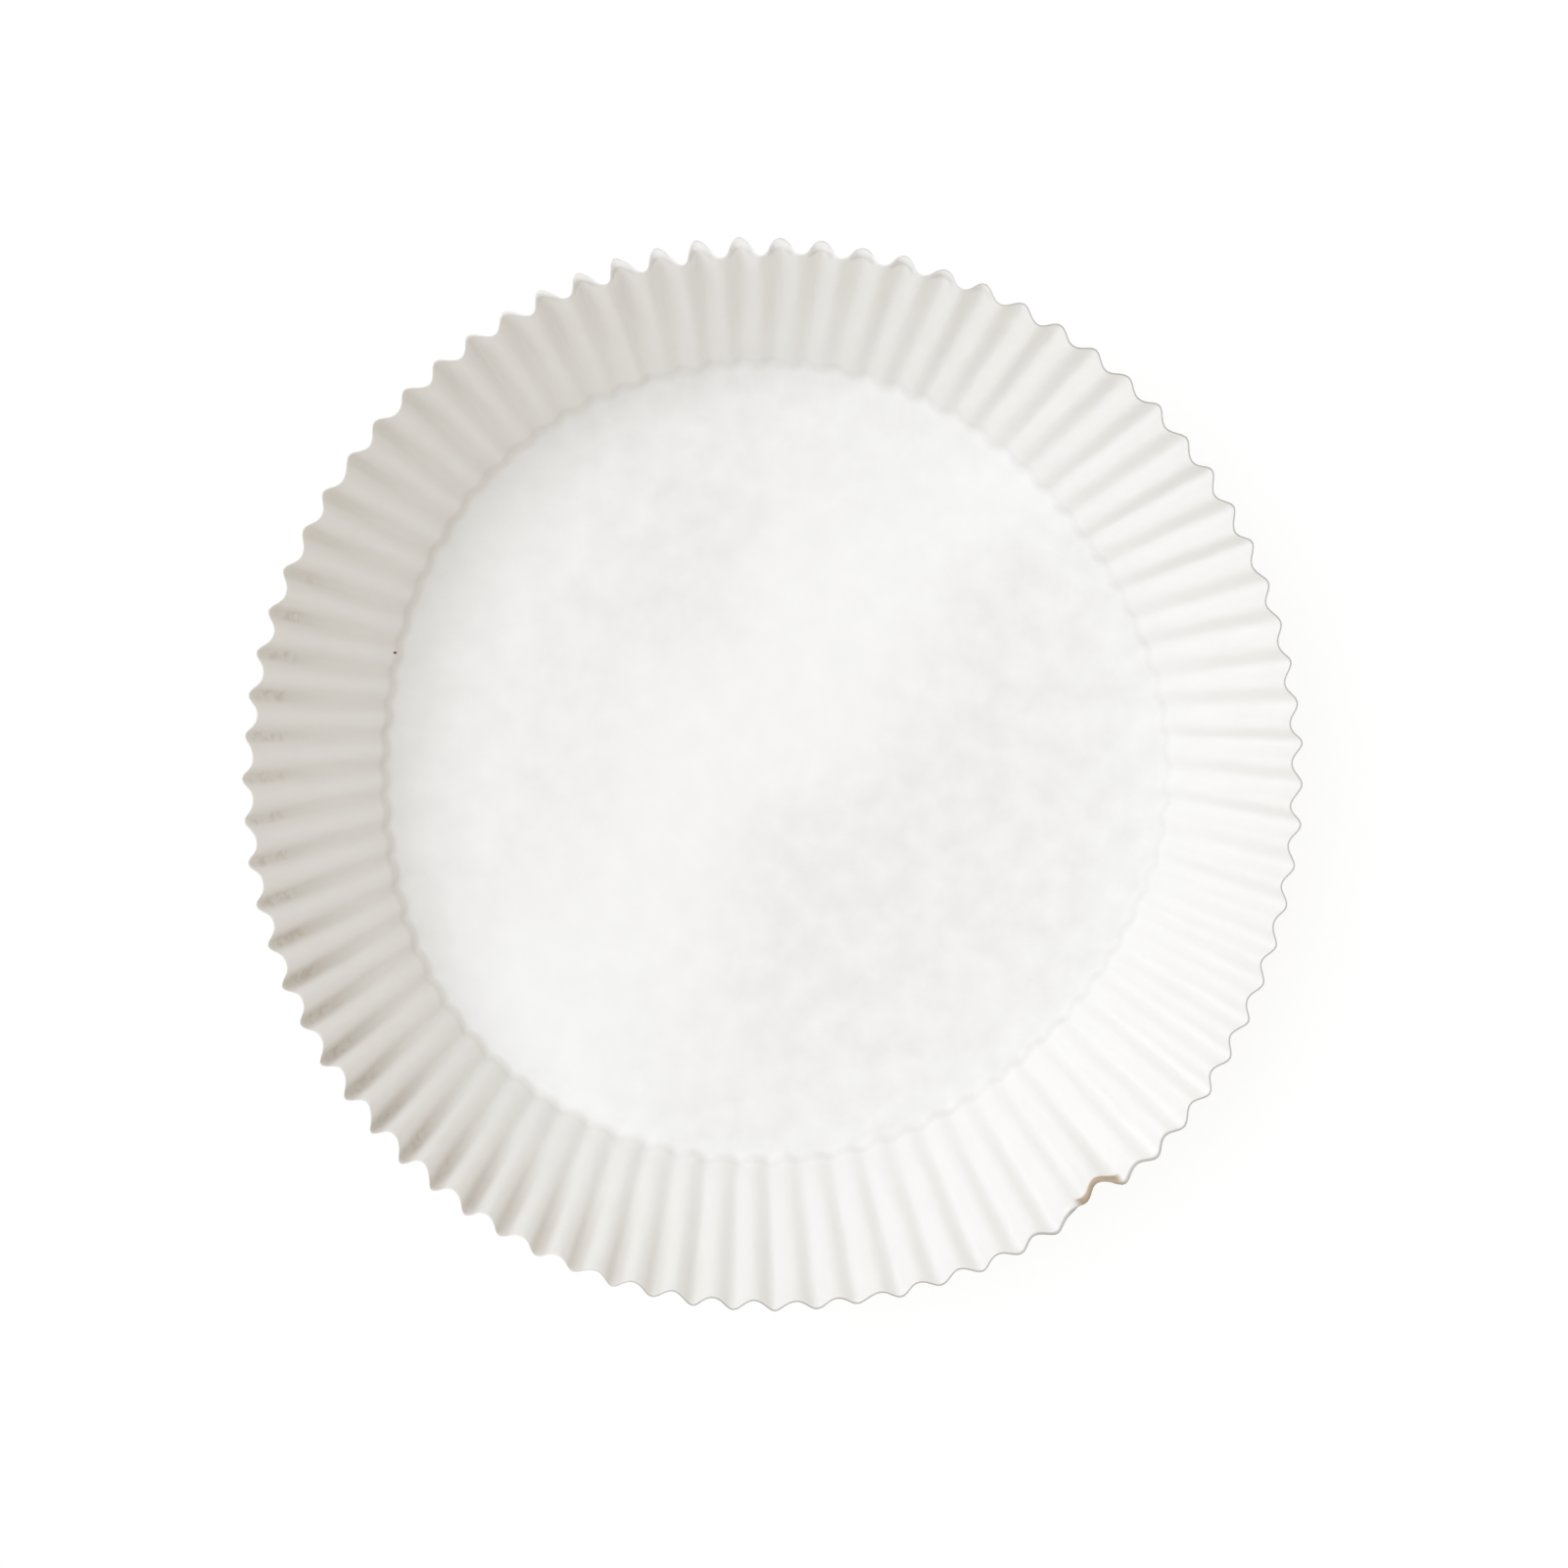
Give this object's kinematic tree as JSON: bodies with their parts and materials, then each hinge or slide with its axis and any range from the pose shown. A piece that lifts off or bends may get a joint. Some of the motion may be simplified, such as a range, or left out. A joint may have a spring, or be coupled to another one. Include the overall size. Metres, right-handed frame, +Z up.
{
  "type": "steamer paper liner",
  "caption": "Round parchment paper liner for a steamer basket: a flat base with a flaring fluted wall, pressed from one sheet.",
  "frame": {"origin": "on the surface the liner stands on, under the middle of its round base", "axes": "+Z up out of the cup's mouth; +X towards the right of the picture and +Y towards its top, as seen from above"},
  "size_m": [0.1982, 0.2006, 0.0477],
  "materials": {
    "parchment": "matte"
  },
  "bodies": {
    "root": {"liner": "parchment"}
  },
  "joints": []
}
